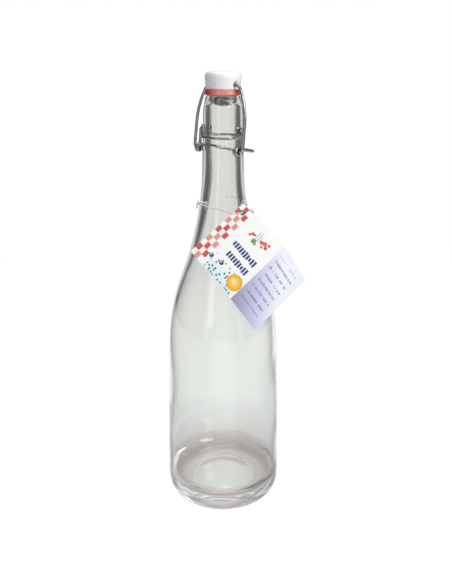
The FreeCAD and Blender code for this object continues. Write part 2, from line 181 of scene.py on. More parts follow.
def tube(name, path, radius, sides, closed=False):
    """A round wire along a path. Its cut ends are slightly rounded off."""
    path = np.asarray(path, float)
    tangents, across, up = frames_along(path, closed)

    def cap(end, way):
        """The rounded end of the wire, from the path's end outwards."""
        return [(path[end] + tangents[end] * way * END_ROUND * radius * math.sin(q),
                 radius * (1 - END_ROUND + END_ROUND * math.cos(q)), across[end], up[end])
                for q in np.linspace(0, QUARTER, 5)[1:]]

    rings = [(centre, radius, a, b) for centre, a, b in zip(path, across, up)]
    if not closed:
        rings = cap(0, -1)[::-1] + rings + cap(-1, 1)
    angles = np.linspace(0, FULL, sides, endpoint=False)
    points = []
    for centre, r, a, b in rings:
        points += (centre + r * (np.outer(np.cos(angles), a) + np.outer(np.sin(angles), b))).tolist()
    count = len(rings)
    faces = []
    for i in range(count if closed else count - 1):
        this, following = i * sides, (i + 1) % count * sides
        for k in range(sides):
            beside = (k + 1) % sides
            faces.append([this + k, this + beside, following + beside, following + k])
    if not closed:
        faces += [list(range(sides)), list(range((count - 1) * sides, count * sides))]
    return mesh_object(name, points, faces, 60)


def spline(points, step, closed=False):
    """A smooth path through points, sampled about every step."""
    points = [np.asarray(p, float) for p in points]
    count = len(points)
    path = []
    for i in range(count if closed else count - 1):
        p1, p2 = points[i], points[(i + 1) % count]
        p0 = points[i - 1] if closed or i else 2 * p1 - p2
        p3 = points[(i + 2) % count] if closed or i + 2 < count else 2 * p2 - p1
        t1 = np.linalg.norm(p1 - p0) ** 0.5
        t2 = t1 + np.linalg.norm(p2 - p1) ** 0.5
        t3 = t2 + np.linalg.norm(p3 - p2) ** 0.5
        for t in np.linspace(t1, t2, max(2, int(np.linalg.norm(p2 - p1) / step)), endpoint=False):
            a1 = p0 * (t1 - t) / t1 + p1 * t / t1
            a2 = p1 * (t2 - t) / (t2 - t1) + p2 * (t - t1) / (t2 - t1)
            a3 = p2 * (t3 - t) / (t3 - t2) + p3 * (t - t2) / (t3 - t2)
            b1 = a1 * (t2 - t) / t2 + a2 * t / t2
            b2 = a2 * (t3 - t) / (t3 - t1) + a3 * (t - t1) / (t3 - t1)
            path.append(b1 * (t2 - t) / (t2 - t1) + b2 * (t - t1) / (t2 - t1))
    if not closed:
        path.append(points[-1])
    return np.array(path)


def cut(piece, tool):
    """Take the tool's solid out of the piece for good."""
    modifier = piece.modifiers.new("cut", "BOOLEAN")
    modifier.operation = "DIFFERENCE"
    modifier.solver = "EXACT"
    modifier.object = tool
    shown = piece.evaluated_get(bpy.context.evaluated_depsgraph_get())
    mesh = bpy.data.meshes.new_from_object(shown)
    piece.modifiers.clear()
    piece.data = mesh
    bpy.data.objects.remove(tool)


# ------------ node trees

class Nodes:
    """Adds nodes to one tree a step at a time. Each step gives back the socket to go on from."""

    def __init__(self, tree):
        self.tree = tree

    def node(self, kind, **settings):
        made = self.tree.nodes.new("ShaderNode" + kind)
        for key, setting in settings.items():
            setattr(made, key, setting)
        return made

    def link(self, source, target):
        self.tree.links.new(source, target)

    def feed(self, target, given):
        if hasattr(given, "is_linked"):
            self.link(given, target)
        else:
            target.default_value = given

    def split(self, vector):
        made = self.node("SeparateXYZ")
        self.link(vector, made.inputs[0])
        return [made.outputs[axis] for axis in "XYZ"]

    def ramp(self, source, stops):
        """Colours, or levels of grey, at places along the source."""
        ramp = self.node("ValToRGB")
        elements = ramp.color_ramp.elements
        while len(elements) < len(stops):
            elements.new(0.5)
        for element, (place, colour) in zip(elements, stops):
            element.position = place
            element.color = (*colour, 1) if hasattr(colour, "__len__") else (colour,) * 3 + (1,)
        self.link(source, ramp.inputs["Fac"])
        return ramp.outputs["Color"]

    def math(self, operation, a, b=0.0, clamp=False):
        made = self.node("Math", operation=operation, use_clamp=clamp)
        self.feed(made.inputs[0], a)
        self.feed(made.inputs[1], b)
        return made.outputs[0]

    def both(self, a, b):
        return self.math("MULTIPLY", a, b)

    def distance(self, a, b):
        """The length of the step whose two parts are a and b."""
        return self.math("SQRT", self.math("ADD", self.both(a, a), self.both(b, b)))

    def rise(self, source, low, high, shape="LINEAR"):
        made = self.node("MapRange", interpolation_type=shape)
        made.inputs["From Min"].default_value = low
        made.inputs["From Max"].default_value = high
        self.link(source, made.inputs["Value"])
        return made.outputs[0]

    def span(self, source, low, high, soft):
        """1 where the source lies between low and high."""
        rise = self.math("DIVIDE", self.math("SUBTRACT", source, low), soft, True)
        fall = self.math("DIVIDE", self.math("SUBTRACT", high, source), soft, True)
        return self.both(rise, fall)

    def mix(self, share, a, b):
        made = self.node("Mix", data_type="RGBA")
        self.feed(made.inputs["Factor"], share)
        for key, given in (("A", a), ("B", b)):
            socket = next(s for s in made.inputs if s.name == key and s.type == "RGBA")
            self.feed(socket, (*given, 1) if isinstance(given, tuple) else given)
        return next(s for s in made.outputs if s.type == "RGBA")

    def for_camera(self, direction):
        """A direction's three parts as the camera sees it: to the right, up and away from the camera."""
        turned = self.node("VectorTransform", vector_type="VECTOR", convert_from="WORLD", convert_to="CAMERA")
        self.link(direction, turned.inputs[0])
        return self.split(turned.outputs[0])


class Paint(Nodes):
    """One node material."""

    def __init__(self, name):
        self.material = bpy.data.materials.new(name)
        self.material.use_nodes = True
        super().__init__(self.material.node_tree)
        self.shader = self.tree.nodes["Principled BSDF"]
        self.output = self.tree.nodes["Material Output"]

    def set(self, **values):
        for key, given in values.items():
            self.shader.inputs[key.replace("_", " ")].default_value = given

    def into(self, name, source):
        self.link(source, self.shader.inputs[name])

    def coords(self):
        return self.node("TexCoord").outputs["Object"]

    def around(self):
        """The distance from the bottle's axis, and the height."""
        x, y, z = self.split(self.coords())
        return self.distance(x, y), z

    def noise(self, scale, detail=3.0, roughness=0.5, vector=None, stretch=None):
        texture = self.node("TexNoise")
        texture.inputs["Scale"].default_value = scale
        texture.inputs["Detail"].default_value = detail
        texture.inputs["Roughness"].default_value = roughness
        source = vector or self.coords()
        if stretch:
            mapping = self.node("Mapping")
            mapping.inputs["Scale"].default_value = stretch
            self.link(source, mapping.inputs["Vector"])
            source = mapping.outputs["Vector"]
        self.link(source, texture.inputs["Vector"])
        return texture.outputs["Fac"]

    def bump(self, height, strength, distance):
        made = self.node("Bump")
        made.inputs["Strength"].default_value = strength
        made.inputs["Distance"].default_value = distance
        self.link(height, made.inputs["Height"])
        self.into("Normal", made.outputs["Normal"])

    def onto(self, *pieces):
        for piece in pieces:
            piece.data.materials.clear()
            piece.data.materials.append(self.material)


# ------------ plain materials

def glass_paint():
    """Clear glass, darker in the ring of the thick heel. Its shadow is that of a thin clear film."""
    green, clear, heel_tint = (0.955, 0.972, 0.957), (0.985, 0.99, 0.982), (0.64, 0.585, 0.595)
    film_tint = (0.93, 0.945, 0.93, 1)
    heel_in, beyond, heel_top = 31 * MM, 60 * MM, 10 * MM
    paint = Paint("clear_glass")
    cloud = paint.noise(28, 2, 0.4, stretch=(1, 1, 0.35))
    wall = paint.ramp(cloud, [(0.25, green), (0.75, clear)])
    out, height = paint.around()
    ring, foot = paint.span(out, heel_in, beyond, 4 * MM), paint.span(height, -heel_top, heel_top, 5 * MM)
    paint.into("Base Color", paint.mix(paint.both(ring, foot), wall, heel_tint))
    paint.into("Roughness", paint.ramp(cloud, [(0.3, 0.0), (0.8, 0.018)]))
    paint.set(Transmission_Weight=1.0, IOR=1.5)
    paint.bump(paint.noise(42, 1, 0.3, stretch=(1, 1, 0.22)), 0.10, 0.002)
    film = paint.node("BsdfTransparent")
    film.inputs["Color"].default_value = film_tint
    mixed = paint.node("MixShader")
    paint.link(paint.node("LightPath").outputs["Is Shadow Ray"], mixed.inputs[0])
    paint.link(paint.shader.outputs[0], mixed.inputs[1])
    paint.link(film.outputs[0], mixed.inputs[2])
    paint.link(mixed.outputs[0], paint.output.inputs["Surface"])
    return paint


def steel_paint(name, dark, light, grain):
    paint = Paint(name)
    worn = paint.noise(grain, 4, 0.6)
    fine = paint.noise(grain * 9, 2, 0.5)
    paint.into("Base Color", paint.ramp(worn, [(0.3, dark), (0.7, light)]))
    paint.into("Roughness", paint.ramp(fine, [(0.25, 0.16), (0.8, 0.36)]))
    paint.set(Metallic=1.0)
    paint.bump(fine, 0.12, 0.0002)
    return paint


def stopper_paint():
    """Glossy white for the head, and dark grey painted shade for the button below the gasket, which is as
    white as the head but lies in shade inside the neck.
    """
    white = (0.86, 0.87, 0.865), (0.92, 0.92, 0.91)
    grey = (0.10, 0.098, 0.095), (0.15, 0.145, 0.14)
    paint = Paint("white_gloss")
    soft = paint.noise(60, 3, 0.5)
    head, button = (paint.ramp(soft, [(0.3, dark), (0.7, light)]) for dark, light in (white, grey))
    _, _, height = paint.split(paint.coords())
    # painted shade: below the gasket the head's white gives way to the button's dark grey
    low = paint.math("LESS_THAN", height, (GASKET_LOW + 0.1) * MM)
    paint.into("Base Color", paint.mix(low, head, button))
    paint.into("Roughness", paint.ramp(paint.noise(240, 2), [(0.3, 0.16), (0.7, 0.26)]))
    paint.set(Coat_Weight=0.6, Coat_Roughness=0.06, Subsurface_Weight=0.08, Subsurface_Scale=0.002)
    paint.bump(paint.noise(130, 2), 0.05, 0.0004)
    return paint


def rubber_paint():
    """Red rubber, with a painted highlight: paler where it is seen face on."""
    dark_red, red, highlight_red = (0.42, 0.016, 0.014), (0.55, 0.032, 0.026), (0.74, 0.26, 0.21)
    paint = Paint("red_rubber")
    grain = paint.noise(900, 3, 0.6)
    deep = paint.ramp(paint.noise(90, 3, 0.5), [(0.3, dark_red), (0.7, red)])
    away_from_highlight = paint.ramp(paint.node("LayerWeight").outputs["Facing"], [(0.02, 0.0), (0.45, 1.0)])
    # painted highlight: face-on parts are a pale pinkish red, grazing parts the deep red
    paint.into("Base Color", paint.mix(away_from_highlight, highlight_red, deep))
    paint.into("Roughness", paint.ramp(grain, [(0.2, 0.30), (0.8, 0.46)]))
    paint.set(Coat_Weight=0.7, Coat_Roughness=0.22, Subsurface_Weight=0.12, Subsurface_Scale=0.001)
    paint.bump(grain, 0.15, 0.0001)
    return paint


def thread_paint():
    dark, light = (0.62, 0.60, 0.57), (0.93, 0.92, 0.90)
    paint = Paint("white_thread")
    fibre = paint.noise(2200, 3, 0.6, stretch=(1, 1, 0.3))
    paint.into("Base Color", paint.ramp(fibre, [(0.25, dark), (0.7, light)]))
    paint.into("Roughness", paint.ramp(fibre, [(0.2, 0.65), (0.8, 0.9)]))
    paint.bump(fibre, 0.4, 0.0001)
    return paint


def plain_card_paint():
    """The unprinted side of the card."""
    dark, light = (0.80, 0.79, 0.76), (0.90, 0.89, 0.87)
    paint = Paint("plain_card")
    fibre = paint.noise(700, 4, 0.65)
    paint.into("Base Color", paint.ramp(fibre, [(0.3, dark), (0.7, light)]))
    paint.into("Roughness", paint.ramp(fibre, [(0.2, 0.6), (0.8, 0.8)]))
    paint.bump(fibre, 0.12, 0.0001)
    return paint


# ------------ glass bottle

HEEL, BEARING_IN, PUSHUP = 10.5, 26.0, 5.0
SHOULDER_Z, SHOULDER_SHARE, NECK_R, NECK_Z = 108.0, 0.382, 15.9, 244.0
FINISH_R, FINISH_Z, FINISH_CURVE, LIP_R, LIP_ROUND = 15.6, 277.0, 70.0, 13.7, 2.0
COLLAR_R, COLLAR_Z, GROOVE, GROOVE_HALF, GROOVE_LEAD = 15.75, 264.6, 1.0, 0.98, 10
MOUTH_R, MOUTH_Z, MOUTH_ROUND, BORE_R, BORE_TOP, BORE_Z = 8.5, 293.5, 1.2, 11.0, 287.0, 246.0
INNER_R, INNER_SHOULDER_Z, INNER_SHARE = 38.4, 106.0, 0.4
FLOOR_Z, FLOOR_DOME, FLOOR_ROUND = 9.0, 3.6, 11.0
DOTS, DOT_ROWS, DOT_SIZE, DOT_HEIGHT = 72, ((21.6, 0.0), (25.2, math.pi)), 1.0, 0.8
SEAMS, SEAM_TOP, SEAM_HALF, SEAM_HEIGHT = (-60, 120), 288, 0.35, 0.11
CALM_BELOW, CALM_ABOVE, CALM_FADE = 24, 262, 20
WAVE_BODY, WAVE_NECK, WAVE_CHANGE_Z = 0.42, 0.22, 150


def shoulder(low_r, low_z, high_r, high_z, share, count):
    """The two arcs of a shoulder, bulging out below and curving in above, as points going up."""
    fall, rise = low_r - high_r, high_z - low_z
    whole = (fall ** 2 + rise ** 2) / (2 * fall)
    below, above = share * whole, (1 - share) * whole
    turn = math.degrees(math.asin(rise / whole))
    first = arc((low_r - below, low_z), below, 0, turn, count)
    second = arc((high_r + above, high_z), above, 180 + turn, 180, count)
    return first + second[1:]


def dome(radius, rise, top):
    """Radius and centre height of the arc that falls by rise at the radius, and its sweep in degrees."""
    curve = (radius ** 2 + rise ** 2) / (2 * rise)
    return curve, top - curve, math.degrees(math.asin(radius / curve))


def finish_points():
    """The finish above the groove: its slightly swelling side and the rounded lip."""
    lip_foot = LIP_Z - LIP_ROUND
    chord = math.hypot(LIP_R - FINISH_R, lip_foot - FINISH_Z)
    points = []
    for t in np.linspace(0, 1, 24)[1:]:
        swell = 4 * t * (1 - t) * chord ** 2 / 8 / FINISH_CURVE
        points.append((FINISH_R + (LIP_R - FINISH_R) * t + swell, FINISH_Z + (lip_foot - FINISH_Z) * t))
    return points + arc((LIP_R - LIP_ROUND, lip_foot), LIP_ROUND, 0, 90, 12)[1:]


def outside_points():
    """The outside of the bottle from the middle of its push-up to the top of its lip."""
    curve, centre_z, sweep = dome(BEARING_IN, PUSHUP, PUSHUP)
    points = [(0.0, PUSHUP)] + arc((0, centre_z), curve, 90, 90 - sweep, 56)[1:]
    points += straight(points[-1], (BODY_R - HEEL, 0), 16)
    points += arc((BODY_R - HEEL, HEEL), HEEL, -90, 0, 30)[1:]
    points += straight(points[-1], (BODY_R, SHOULDER_Z), 40)
    points += shoulder(BODY_R, SHOULDER_Z, NECK_R, NECK_Z, SHOULDER_SHARE, 46)[1:]
    side = NECK_R + (FINISH_R - NECK_R) * (COLLAR_Z - NECK_Z) / (FINISH_Z - NECK_Z)
    points += straight(points[-1], (side, COLLAR_Z - GROOVE_HALF), 10)
    points += arc((COLLAR_R, COLLAR_Z), GROOVE, 270 - GROOVE_LEAD, 90 + GROOVE_LEAD, 16)
    points += straight(points[-1], (FINISH_R, FINISH_Z), 8)
    return points + finish_points()


def inside_points():
    """The inside of the bottle from the lip down to the middle of its floor."""
    edge = MOUTH_R + MOUTH_ROUND
    points = [(edge, LIP_Z)] + arc((edge, LIP_Z - MOUTH_ROUND), MOUTH_ROUND, 90, 180, 8)[1:]
    for t in np.linspace(0, 1, 16):
        wide = t * t * (3 - 2 * t)
        points.append((MOUTH_R + (BORE_R - MOUTH_R) * wide, MOUTH_Z + (BORE_TOP - MOUTH_Z) * t))
    points += straight(points[-1], (BORE_R, BORE_Z), 20)
    points += shoulder(INNER_R, INNER_SHOULDER_Z, BORE_R, BORE_Z, INNER_SHARE, 46)[::-1][1:]
    points += straight(points[-1], (INNER_R, FLOOR_Z + FLOOR_ROUND), 34)
    flat = INNER_R - FLOOR_ROUND
    points += arc((flat, FLOOR_Z + FLOOR_ROUND), FLOOR_ROUND, 0, -90, 26)[1:]
    curve, centre_z, sweep = dome(flat, FLOOR_DOME, FLOOR_Z + FLOOR_DOME)
    points += arc((0, centre_z), curve, 90 - sweep, 90, 26)[1:-1]
    return points + [(0.0, FLOOR_Z + FLOOR_DOME)]


def pressed(angles, radius, height):
    """What the mould leaves outside: two rows of grip dots underneath and a seam on each side."""
    r, z = radius[0], height[0]
    if z < PUSHUP * 0.6 and r < BODY_R - HEEL:
        for row, shift in DOT_ROWS:
            near = math.exp(-((r - row) / DOT_SIZE) ** 2)
            height = height + DOT_HEIGHT * near * (1 - np.cos(DOTS * angles + shift)) / 2
    if HEEL * 0.4 < z < SEAM_TOP:
        for seam in SEAMS:
            away = np.angle(np.exp(1j * (angles - math.radians(seam)))) * r
            radius = radius + SEAM_HEIGHT * np.exp(-(away / SEAM_HALF) ** 2)
    return radius, height


def uneven(angles, radius, height):
    """The slightly wavy inside of blown glass, calm at the floor and in the mouth."""
    z = height[0]
    if CALM_BELOW < z < CALM_ABOVE:
        fade = min(1.0, (z - CALM_BELOW) / CALM_FADE, (CALM_ABOVE - z) / CALM_FADE)
        depth = WAVE_BODY if z < WAVE_CHANGE_Z else WAVE_NECK
        wave = (np.sin(3 * angles + z / 31 + 1.1) * np.sin(z / 23 + 0.4)
                + 0.7 * np.sin(5 * angles - z / 17 + 2.2)
                + 0.5 * np.sin(2 * angles + z / 61) + 0.35 * np.sin(z / 9.5 + 2 * np.sin(angles)))
        radius = radius + depth * fade * wave / 2.2
    return radius, height


def build_glass():
    outside, inside = outside_points(), inside_points()

    def blown(row, angles, radius, height):
        return (pressed if row < len(outside) else uneven)(angles, radius, height)

    bottle = lathe("bottle_glass", outside + inside, 432, change=blown, smooth_angle=50)
    glass_paint().onto(bottle)
    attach(bottle, "bottle")
    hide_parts("glass_bottle")


# ------------ wires

COLLAR_WIRE, LEVER_WIRE, BAIL_WIRE, WIRE_SIDES = 1.0, 1.18, 1.16, 18
EYE_X = 17.9
PIN_IN, PIN_OUT, PIN_BEND = 16.4, 19.4, 1.9
COIL_R, COIL_OUT, COIL_IN, COIL_TURNS = 2.5, 21.6, 18.0, 1.75
BOW_R, BOW_Y, BOW_BACK_Z = 18.7, 6.5, 251.0
BAR_HALF, ELBOW, ELBOW_TURN, BAIL_CURVE, BAIL_FOOT, HOOK_TIP = 13.8, 4.0, 60, 55.0, 3.0, 17.2


def mirrored(path):
    """The path on the other side of the bottle, run backwards."""
    return [np.array([-p[0], p[1], p[2]]) for p in path][::-1]


def band(start, end):
    """A stretch of the collar's wire round the groove, with its angles in degrees."""
    return [np.array([x, y, COLLAR_Z]) for x, y in arc((0, 0), COLLAR_R, start, end, 30)]


def collar_eye():
    """The wire's way round the right eye: up in front of the pin, over it, down behind it and forward."""
    x, y, z = EYE_X, PIVOT_Y, PIVOT_Z
    return [np.array(point) for point in (
        (x - 1.7, 1.6, COLLAR_Z + 0.9),
        (x - 0.9, y + 0.9, z - 3.1),
        (x - 0.8, y - 1.6, z - 1.5),
        (x - 0.5, y - 2.35, z + 0.2),
        (x - 0.1, y - 1.5, z + 1.85),
        (x + 0.2, y + 0.2, z + 2.3),
        (x + 0.5, y + 1.8, z + 1.5),
        (x + 0.7, y + 2.25, z),
        (x + 0.8, y + 1.5, z - 1.6),
        (x + 0.2, y - 0.9, z - 3.1),
        (x - 1.6, y - 2.9, COLLAR_Z + 0.8))]


def build_collar():
    """One wire that runs round the groove and makes a crossed eye at each side."""
    right = collar_eye()
    loop = spline(band(158, 22) + right + band(-24, -156) + mirrored(right), 0.3, closed=True)
    collar = tube("collar_wire", loop, COLLAR_WIRE, WIRE_SIDES, closed=True)
    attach(collar, "bottle")
    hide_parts("neck_collar")
    return collar


def lever_pin():
    """The pivot pin in the collar's eye, and the bend down at its outer end."""
    points = [(x, 0.0) for x in np.linspace(PIN_IN, PIN_OUT, 8)]
    points += arc((PIN_OUT, -PIN_BEND), PIN_BEND, 90, 0, 10)[1:]
    return [np.array([x, PIVOT_Y, PIVOT_Z + rise]) for x, rise in points]


def lever_leg(start):
    """The leg from the pin's bend down to the outer end of the coil."""
    return list(spline([start,
                        (COIL_OUT - 0.2, PIVOT_Y - 0.1, PIVOT_Z - 6.0),
                        (COIL_OUT - 0.1, PIVOT_Y - 0.6, HOOK_Z + 4.0),
                        (COIL_OUT, HOOK_Y + COIL_R, HOOK_Z + 1.2)], 0.4))


def lever_coil():
    """The coil that holds the bail's hook, wound inwards."""
    coil = []
    for share in np.linspace(0, 1, 90):
        turn = -COIL_TURNS * FULL * share
        coil.append(np.array([COIL_OUT + (COIL_IN - COIL_OUT) * share,
                              HOOK_Y + COIL_R * math.cos(turn), HOOK_Z + COIL_R * math.sin(turn)]))
    return coil


def lever_handle():
    """The arm back from the coil's top, and half of the bow behind the neck, on one slope."""
    top_z = HOOK_Z + COIL_R
    slope = (BOW_BACK_Z - top_z) / (BOW_Y + BOW_R - HOOK_Y)
    points = straight((COIL_IN, HOOK_Y), (BOW_R, BOW_Y), 13) + arc((0.0, BOW_Y), BOW_R, 0, 90, 40)[1:]
    return [np.array([x, y, top_z + slope * (y - HOOK_Y)]) for x, y in points]


def build_lever():
    """One wire: pin, leg, a coil of nearly two turns for the hook, and the handle behind the neck."""
    pin = lever_pin()
    side = pin + lever_leg(pin[-1])[1:] + lever_coil()[1:] + lever_handle()
    lever = tube("lever_wire_bent", side + mirrored(side)[1:], LEVER_WIRE, WIRE_SIDES)
    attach(lever, "lever")
    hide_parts("lever_wire")
    return lever


def bail_outline(drop):
    """Half of the bail in its own plane: bar, elbow, bowed side, foot, and the hook at a depth of drop."""
    points = [(x, 0.0) for x in np.linspace(0, BAR_HALF, 20)]
    points += arc((BAR_HALF, -ELBOW), ELBOW, 90, 90 - ELBOW_TURN, 12)[1:]
    lean = math.radians(90 - ELBOW_TURN)
    centre = points[-1][0] - BAIL_CURVE * math.cos(lean), points[-1][1] - BAIL_CURVE * math.sin(lean)
    points += arc(centre, BAIL_CURVE, 90 - ELBOW_TURN, 0, 40)[1:]
    side_x, foot = points[-1][0], BAIL_FOOT - drop
    points += straight(points[-1], (side_x, foot), 14)
    points += arc((side_x - BAIL_FOOT, foot), BAIL_FOOT, 0, -90, 12)[1:]
    return points + straight(points[-1], (HOOK_TIP, -drop), 10)


def build_bail():
    """One wire: the bar through the stopper, two bowed sides, and hooks into the lever's coils."""
    drop = math.hypot(CROSS_Z - HOOK_Z, HOOK_Y)
    down = np.array([0, HOOK_Y, HOOK_Z - CROSS_Z]) / drop
    side = [np.array([x, 0, CROSS_Z]) - down * rise for x, rise in bail_outline(drop)]
    bail = tube("bail_wire_bent", mirrored(side) + side[1:], BAIL_WIRE, WIRE_SIDES)
    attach(bail, "bail")
    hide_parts("bail_wire")
    return bail


# ------------ stopper and gasket

BUTTON_R, BUTTON_DOME, BUTTON_ROUND, BUTTON_SLOPE, BUTTON_SIDE_Z = 7.2, 11.6, 1.5, 58, 292.0
STEM_R, STEM_EDGE, FOOT_R, FOOT_ROUND, HEAD_ROUND = 6.0, 0.2, 12.75, 0.55, 4.4
CROSS_HOLE_R, FLARE, FLARE_FROM, FLARE_RUN, FLARE_POWER, CUT_END = 1.34, 2.9, 8.0, 6.3, 2.2, 16.0
WASHER_BORE, WASHER_TOP_R, LOW_ROUND, TOP_ROUND = 6.05, 14.15, 1.1, 0.6


def button_profile():
    """Half outline of the button and the stem, from the middle of the underside up to the head."""
    points = [(0.0, BUTTON_LOW)]
    points += arc((0.0, BUTTON_LOW + BUTTON_DOME), BUTTON_DOME, -90, -BUTTON_SLOPE, 14)[1:]
    points += arc((BUTTON_R - BUTTON_ROUND, BUTTON_SIDE_Z), BUTTON_ROUND, -BUTTON_SLOPE, 0, 8)
    points += straight((BUTTON_R, BUTTON_SIDE_Z), (BUTTON_R, GASKET_LOW - STEM_EDGE), 6)
    return points + [(BUTTON_R - STEM_EDGE, GASKET_LOW), (STEM_R, GASKET_LOW), (STEM_R, GASKET_TOP)]


def head_profile():
    """Half outline of the head, from the stem out and up to the middle of its nearly flat top."""
    points = straight((STEM_R, GASKET_TOP), (FOOT_R - 0.15, GASKET_TOP), 5)
    points += arc((FOOT_R, GASKET_TOP + FOOT_ROUND), FOOT_ROUND, -90, -10, 6)
    points += straight(points[-1], (HEAD_R, HEAD_TOP - HEAD_ROUND), 12)
    points += arc((HEAD_R - HEAD_ROUND, HEAD_TOP - HEAD_ROUND), HEAD_ROUND, 0, 82, 20)[1:]
    return points + [(8.4, HEAD_TOP - 0.02), (6.5, HEAD_TOP), (3.0, HEAD_TOP), (0.0, HEAD_TOP)]


def cross_hole():
    """The hole for the bail's bar, flared towards both sides, as a solid to cut with."""
    right = [(CROSS_HOLE_R + FLARE * max(0.0, (x - FLARE_FROM) / FLARE_RUN) ** FLARE_POWER, x)
             for x in np.linspace(FLARE_FROM - 0.4, CUT_END, 30)]
    left = [(r, -x) for r, x in right[::-1]]
    middle = [(CROSS_HOLE_R, x) for x in np.linspace(1 - FLARE_FROM, FLARE_FROM - 1, 24)]
    tool = lathe("hole_tool", [(0.0, -CUT_END)] + left + middle + right + [(0.0, CUT_END)], 64)
    tool.rotation_euler = (0, QUARTER, 0)
    tool.location = (0, 0, CROSS_Z * MM)
    bpy.context.view_layer.update()
    return tool


def build_stopper():
    head = lathe("stopper_body", button_profile() + head_profile(), 160, smooth_angle=35)
    cut(head, cross_hole())
    shade(head, 32)
    stopper_paint().onto(head)
    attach(head, "stopper")
    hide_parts("stopper_head")


def build_gasket():
    low_r = GASKET_R - LOW_ROUND
    profile = straight((WASHER_BORE, GASKET_LOW), (low_r - 0.2, GASKET_LOW), 6)
    profile += arc((low_r, GASKET_LOW + LOW_ROUND), LOW_ROUND, -90, 0, 10)
    profile += straight(profile[-1], (WASHER_TOP_R, GASKET_TOP - 2 * TOP_ROUND), 6)
    profile += arc((WASHER_TOP_R - TOP_ROUND, GASKET_TOP - TOP_ROUND), TOP_ROUND, 8, 90, 8)
    profile += straight(profile[-1], (WASHER_BORE, GASKET_TOP), 6)
    washer = lathe("gasket_washer", profile, 160, ring=True)
    rubber_paint().onto(washer)
    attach(washer, "stopper")
    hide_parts("gasket")


# ------------ card tag

AZIMUTH, TILT, ROLL, CREASE_BEND = math.radians(42), math.radians(23.7), math.radians(41.8), math.radians(51)
SIDEWAYS = np.array([math.cos(AZIMUTH), math.sin(AZIMUTH), 0])
OUTWARD = np.array([math.sin(AZIMUTH), -math.cos(AZIMUTH), 0])
UPWARD = UP * math.cos(TILT) - OUTWARD * math.sin(TILT)
ALONG = SIDEWAYS * math.cos(ROLL) + UPWARD * math.sin(ROLL)
ACROSS = UPWARD * math.cos(ROLL) - SIDEWAYS * math.sin(ROLL)
BACKWARD = np.cross(ACROSS, ALONG)
LEAF_W, LEAF_L, CARD, CARD_SAG = 42.0, 52.0, 0.4, 0.35
LEAF_EDGE, CORNER_R = LEAF_W - 0.05, 0.8
CREASE_RUN, CREASE_ZONE, BLEND_HALF = 0.9, 1.2, 0.6
HOLE, HOLE_R = (LEAF_W - 4.5, LEAF_L / 2 - 6.5), 2.0


def card_section(s):
    """Place and turn of the card's middle at a distance s across the crease, which is a short round bend."""
    half = CREASE_RUN / 2
    if s >= half:
        return s, 0.0, 0.0
    angle = CREASE_BEND * min(1.0, (half - s) / CREASE_RUN)
    radius = CREASE_RUN / CREASE_BEND
    beyond = max(0.0, -half - s)
    x = half - radius * math.sin(angle) - beyond * math.cos(CREASE_BEND)
    z = radius * (1 - math.cos(angle)) + beyond * math.sin(CREASE_BEND)
    return x, z, angle


def card_point(s, t, lift):
    """A point of the card: s across, t along the crease, and lift out of its middle towards the bottle."""
    x, z, angle = card_section(s)
    x += lift * math.sin(angle)
    z += lift * math.cos(angle)
    z -= CARD_SAG * math.sin(math.pi * min(1.0, abs(s) / LEAF_W)) * (1 - (2 * t / LEAF_L) ** 2)
    return CREASE + ACROSS * x + ALONG * t + BACKWARD * z


def rounded(s, t):
    """A place on the sheet, pulled in where it would lie outside a rounded corner."""
    corner = max(0.0, abs(s) - (LEAF_EDGE - CORNER_R)), max(0.0, abs(t) - (LEAF_L / 2 - CORNER_R))
    away = math.hypot(*corner)
    pull = max(0.0, away - CORNER_R) / (away or 1.0)
    return s - math.copysign(pull * corner[0], s), t - math.copysign(pull * corner[1], t)


def sheet_faces(rows, cols):
    """Faces of a thin sheet from two layers of rows by cols points: both sides and the rim."""
    layer = rows * cols
    faces = []
    for i in range(rows - 1):
        for j in range(cols - 1):
            a, b = i * cols + j, (i + 1) * cols + j
            c, d = b + 1, a + 1
            faces += [[a, b, c, d], [layer + a, layer + d, layer + c, layer + b]]
    rim = [i * cols for i in range(rows)] + [(rows - 1) * cols + j for j in range(1, cols)]
    rim += [i * cols + cols - 1 for i in range(rows - 2, -1, -1)] + list(range(cols - 2, 0, -1))
    return faces + [[a, b, layer + b, layer + a] for a, b in zip(rim, rim[1:] + rim[:1])]


def card_sheet():
    """One folded sheet, with the print's own coordinates in its map: across and along, in millimetres."""
    steps = np.unique(np.concatenate([np.linspace(-LEAF_EDGE, -CREASE_ZONE, 36),
                                      np.linspace(-CREASE_ZONE, CREASE_ZONE, 17),
                                      np.linspace(CREASE_ZONE, LEAF_EDGE, 36)]))
    runs = np.linspace(-LEAF_L / 2, LEAF_L / 2, 45)
    flat = [rounded(s, t) for s in steps for t in runs]
    points = [card_point(s, t, lift) for lift in (-CARD / 2, CARD / 2) for s, t in flat]
    card = mesh_object("tag_card", points, sheet_faces(len(steps), len(runs)), 40)
    for face in card.data.polygons:
        face.material_index = int(min(face.vertices) >= len(flat))
    chart = card.data.uv_layers.new(name="print")
    for loop in card.data.loops:
        chart.data[loop.index].uv = flat[loop.vertex_index % len(flat)]
    return card


def build_card():
    card = card_sheet()
    middle = card_point(*HOLE, 0)
    cut(card, tube("hole_tool", [middle - BACKWARD * 3, middle, middle + BACKWARD * 3], HOLE_R, 48))
    shade(card, 30)
    card_paint().onto(card)
    card.data.materials.append(plain_card_paint().material)
    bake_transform(card)
    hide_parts("tag_front", "tag_back")


# ------------ the card's print

DARK_BLUE, LEAF_GREEN = (0.045, 0.07, 0.19), (0.17, 0.38, 0.12)


